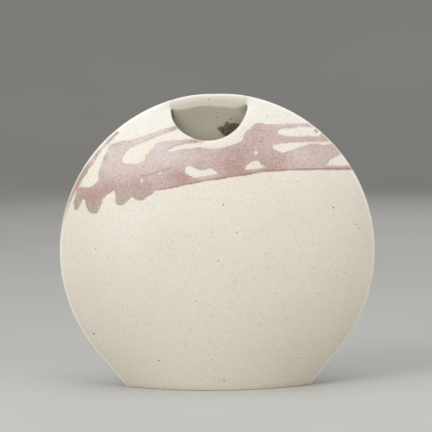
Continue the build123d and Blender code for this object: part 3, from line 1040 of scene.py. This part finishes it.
def speckTree():
    sockets = [("Wall", "Object"), ("Flatness", "Float"), ("Sink", "Float"), ("Material", "Material")]
    tree, entry, leave = newTree("speckDomes", sockets)
    links = {"Object": entry.outputs["Wall"]}
    wall = addNode(tree, "GeometryNodeObjectInfo", links, transform_space="RELATIVE")
    place = addNode(tree, "GeometryNodeInputPosition").outputs[0]
    away = Calc(tree, addNode(tree, "ShaderNodeSeparateXYZ", {0: place}).outputs["Y"])
    inward = addNode(tree, "ShaderNodeCombineXYZ", {"Y": away.do("SIGN") * -1.0}).outputs[0]
    hit = addNode(tree, "GeometryNodeRaycast", {
        "Target Geometry": wall.outputs["Geometry"],
        "Source Position": place,
        "Ray Direction": inward,
        "Ray Length": 1.0,
    })
    girth = addNode(tree, "GeometryNodeInputNamedAttribute", {"Name": "girth"}, data_type="FLOAT")
    girth, normal = girth.outputs["Attribute"], hit.outputs["Hit Normal"]
    facing = addNode(tree, "FunctionNodeAlignRotationToVector", {"Vector": normal}, axis="Z")
    kept = addNode(tree, "GeometryNodeStoreNamedAttribute", {
        "Geometry": entry.outputs["Geometry"], "Name": "facing", "Value": facing.outputs[0],
    }, data_type="QUATERNION", domain="POINT")
    thin = Calc(tree, girth) * Calc(tree, entry.outputs["Flatness"])
    drop = thin * Calc(tree, entry.outputs["Sink"]) * -1.0
    below = addNode(tree, "ShaderNodeVectorMath", {0: normal, "Scale": drop}, operation="SCALE")
    links = {0: hit.outputs["Hit Position"], 1: below.outputs[0]}
    seat = addNode(tree, "ShaderNodeVectorMath", links, operation="ADD")
    links = {"Geometry": kept.outputs[0], "Position": seat.outputs[0]}
    laid = addNode(tree, "GeometryNodeSetPosition", links)
    points = addNode(tree, "GeometryNodeMeshToPoints", {"Mesh": laid.outputs[0]})
    dome = addNode(tree, "GeometryNodeMeshIcoSphere", {"Radius": 1.0, "Subdivisions": 2})
    scale = addNode(tree, "ShaderNodeCombineXYZ", {"X": girth, "Y": girth, "Z": thin})
    turned = addNode(tree, "GeometryNodeInputNamedAttribute", {"Name": "facing"}, data_type="QUATERNION")
    domes = addNode(tree, "GeometryNodeInstanceOnPoints", {
        "Points": points.outputs[0],
        "Instance": dome.outputs[0],
        "Rotation": turned.outputs["Attribute"],
        "Scale": scale.outputs[0],
    })
    dressAndEnd(tree, entry, leave, domes.outputs[0])
    return tree


def makeSpecks():
    draw = np.random.RandomState(specks["seed"])
    tree = speckTree()
    fromX, toX, fromZ, toZ = specks["area"]
    low, high = specks["smallRadius"]
    for name, wall, side, chosen, count in (
        ("frontSpecks", frontWall, -1, specks["plain"], specks["small"]),
        ("rearSpecks", rearWall, 1, [], specks["small"]),
        ("innerSpecks", rearWall, -1, specks["inside"], 0),
    ):
        spots = list(chosen)
        while len(spots) < count + len(chosen):
            x, z = draw.uniform(fromX, toX), draw.uniform(fromZ, toZ)
            girth = low + (high - low) * draw.uniform() ** 2
            offMouth = side > 0 or mouthDistance(x, z) > specks["mouthClear"]
            if rimDistance(x, z) > specks["rimClear"] and offMouth:
                spots.append((x, z, girth))
        mesh = bpy.data.meshes.new(name)
        mesh.from_pydata([(x * mm, side * specks["rayFrom"] * mm, z * mm) for x, z, girth in spots], [], [])
        setAttribute(mesh, "girth", [girth * mm for x, z, girth in spots])
        piece = addObject(name, mesh)
        values = {"Flatness": specks["flatness"], "Sink": specks["sink"]}
        piece.data = applyTree(piece, tree, {**values, "Wall": wall, "Material": speckFinish})
        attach(piece, "root")
        print(name, len(spots), "specks")


makeSpecks()

# coils pressed into the inner seams, and the floor

coils = {
    "seamIn": 13.6,  # distance of the seam coils' middle from the rim
    "seamRadius": 6.3,
    "seamGap": 9.0,  # how far they stop short of the mouth
    "floorTop": 9.0,
    "floorIn": 3.5,
    "floorRadius": 6.0,
    "pressed": 0.12,  # unevenness of the radius
    "bumpScale": 55.0,
    "blunt": 0.02,  # share of the radius that is left at the ends
    "step": 2.0,  # along the coil
    "sides": 20,
    "seamLift": 2.0,  # the seam coils start this far above the floor
    "seamPoints": 90,
    "floorShort": 16.0,  # the floor coils keep this far inside the rim
    "floorShare": 0.93,  # and cover this share of the width that is left
    "floorPoints": 60,
}


def coilTree():
    sockets = [("Radius", "Float"), ("Pressed", "Float"), ("Material", "Material")]
    tree, entry, leave = newTree("pressedCoil", sockets)
    path = addNode(tree, "GeometryNodeMeshToCurve", {"Mesh": entry.outputs["Geometry"]})
    links = {"Curve": path.outputs[0], "Length": coils["step"] * mm}
    even = addNode(tree, "GeometryNodeResampleCurve", links, mode="LENGTH")
    radius = Calc(tree, entry.outputs["Radius"])
    run = addNode(tree, "GeometryNodeSplineParameter")
    whole = addNode(tree, "GeometryNodeSplineLength")
    start = Calc(tree, run.outputs["Length"])
    end = Calc(tree, whole.outputs["Length"]) - start
    left = (start.do("MINIMUM", end) / radius * -1.0 + 1.0).do("MAXIMUM", 0.0)
    rounded = (left * left * -1.0 + 1.0).root().do("MAXIMUM", coils["blunt"])
    bumps = addNode(tree, "ShaderNodeTexNoise", {"Scale": coils["bumpScale"], "Detail": 1.0})
    uneven = (Calc(tree, bumps.outputs[0]) - 0.5) * Calc(tree, entry.outputs["Pressed"]) * 2.0 + 1.0
    ring = addNode(tree, "GeometryNodeCurvePrimitiveCircle", {"Resolution": coils["sides"], "Radius": 1.0})
    tube = addNode(tree, "GeometryNodeCurveToMesh", {
        "Curve": even.outputs[0],
        "Profile Curve": ring.outputs[0],
        "Scale": radius * rounded * uneven,
        "Fill Caps": True,
    })
    dressAndEnd(tree, entry, leave, tube.outputs[0])
    return tree


def makeCoil(name, node, tree, path, radius):
    mesh = bpy.data.meshes.new(name)
    points = [tuple(value * mm for value in point) for point in path]
    mesh.from_pydata(points, [(i, i + 1) for i in range(len(path) - 1)], [])
    piece = addObject(name, mesh)
    values = {"Radius": radius * mm, "Pressed": coils["pressed"], "Material": innerFinish}
    piece.data = applyTree(piece, tree, values)
    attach(piece, "root")
    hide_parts(node)


def seamPath(side, endX):
    radius = pot["discRadius"] - coils["seamIn"]
    low = coils["floorTop"] + coils["seamLift"]
    path = [(side * (radius + (low - centreZ) * math.sin(lean)) / math.cos(lean), 0, low)]
    last = math.acos(side * endX / radius)
    for angle in np.linspace(-lean, last, coils["seamPoints"]):
        path.append((side * radius * math.cos(angle), 0, centreZ + radius * math.sin(angle)))
    return path


def floorPath(side):
    z = coils["floorTop"]
    wide = (pot["discRadius"] + (z - centreZ) * math.sin(lean)) / math.cos(lean) - coils["floorShort"]
    deep = math.sqrt((arcRadius - pot["wall"]) ** 2 - (z - bellyZ) ** 2) - arcBehind - coils["floorIn"]
    bow = (wide**2 + deep**2) / (2 * deep)
    reach = wide * coils["floorShare"]
    across = np.linspace(-reach, reach, coils["floorPoints"])
    return [(x, side * (deep - x * x / (bow + math.sqrt(bow * bow - x * x))), z) for x in across]


coil = coilTree()
leftSeam, rightSeam = seamPath(-1, mouthLeft - coils["seamGap"]), seamPath(1, mouthRight + coils["seamGap"])
makeCoil("leftSeamCoil", "left_seam_coil", coil, leftSeam, coils["seamRadius"])
makeCoil("rightSeamCoil", "right_seam_coil", coil, rightSeam, coils["seamRadius"])
makeCoil("frontFloorCoil", "front_floor_coil", coil, floorPath(-1), coils["floorRadius"])
makeCoil("rearFloorCoil", "rear_floor_coil", coil, floorPath(1), coils["floorRadius"])
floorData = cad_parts["floor_slab"].data
floorData.materials.clear()
floorData.materials.append(clayFinish)
print("coils and floor ready")

# stage, light and camera

stage = {
    "inner": 0.8,
    "flat": 2.6,
    "bend": 1.6,
    "turns": (6, 78, 13),  # first and last angle of the bend, and their number
    "sides": 96,
    "colour": (184, 183, 179),
    "lighter": 3,  # how far its fibres differ
    "roughness": 0.9,
}


def makeStage():
    count = stage["sides"]
    profile = [(stage["inner"], 0.0), (stage["flat"], 0.0)]
    for turn in np.radians(np.linspace(*stage["turns"])):
        profile.append((stage["flat"] + stage["bend"] * math.sin(turn), stage["bend"] * (1 - math.cos(turn))))
    ring = [(math.cos(2 * math.pi * i / count), math.sin(2 * math.pi * i / count)) for i in range(count)]
    points = [(0.0, 0.0, 0.0)]
    for reach, level in profile:
        points += [(reach * c, reach * s, level) for c, s in ring]
    faces = [(0, 1 + i, 1 + (i + 1) % count) for i in range(count)]
    for row in range(len(profile) - 1):
        low, high = 1 + row * count, 1 + (row + 1) * count
        faces += [(low + i, high + i, high + (i + 1) % count, low + (i + 1) % count) for i in range(count)]
    mesh = bpy.data.meshes.new("sweep")
    mesh.from_pydata(points, [], faces)
    mesh.shade_smooth()
    material, tree, shader, place = shaderTree("palePaper")
    fibre = noiseOf(tree, place, 3.0).between(0.3, 0.7)
    lighter = linear(*[value + stage["lighter"] for value in stage["colour"]])
    tree.links.new(mixColour(tree, fibre, linear(*stage["colour"]), lighter), shader.inputs["Base Color"])
    shader.inputs["Roughness"].default_value = stage["roughness"]
    mesh.materials.append(material)
    sweep = addObject("sweep", mesh)


makeStage()

lights = {
    "key": {"place": (-1.25, -1.25, 1.2), "size": 1.2, "power": 24.4, "colour": (0.96, 0.975, 1.0)},
    "top": {"place": (0.1, -0.15, 1.9), "size": 1.6, "power": 16.2, "colour": (0.965, 0.985, 1.0)},
    "fill": {"place": (1.4, -1.6, 0.9), "size": 1.4, "power": 13.9, "colour": (1.0, 0.985, 0.95)},
    "back": {"place": (0.4, 1.9, 1.3), "size": 1.6, "power": 7.7, "colour": (1.0, 1.0, 1.0)},
}
lightAim = (0, 0, 0.14)
sky = {"level": 0.305, "colour": (1.0, 0.99, 0.97, 1)}


def addLight(name, place, size, power, colour):
    lamp = bpy.data.lights.new(name, "AREA")
    lamp.energy, lamp.size, lamp.color = power, size, colour
    holder = addObject(name, lamp)
    holder.location = place
    aim = Vector(lightAim) - Vector(place)
    holder.rotation_euler = aim.to_track_quat("-Z", "Y").to_euler()


for name, values in lights.items():
    addLight(name, **values)
world = bpy.data.worlds.new("studio")
world.use_nodes = True
background = world.node_tree.nodes["Background"]
background.inputs["Color"].default_value = sky["colour"]
background.inputs["Strength"].default_value = sky["level"]
scene.world = world

view = {
    "place": (-0.028, -1.9998, 0.3279),
    "pitch": 4.73,
    "turn": -0.77,
    "roll": -0.45,
    "lens": 175.9,
    "sensor": 36.0,
}
camera = bpy.data.cameras.new("camera")
camera.lens, camera.sensor_width = view["lens"], view["sensor"]
cameraHolder = addObject("camera", camera)
cameraHolder.location = view["place"]
turn = Matrix.Rotation(math.radians(view["turn"]), 3, "Z")
pitch = Matrix.Rotation(math.radians(90 - view["pitch"]), 3, "X")
roll = Matrix.Rotation(math.radians(view["roll"]), 3, "Z")
cameraHolder.rotation_euler = (turn @ pitch @ roll).to_euler()
scene.camera = cameraHolder
print("stage, lights and camera ready")
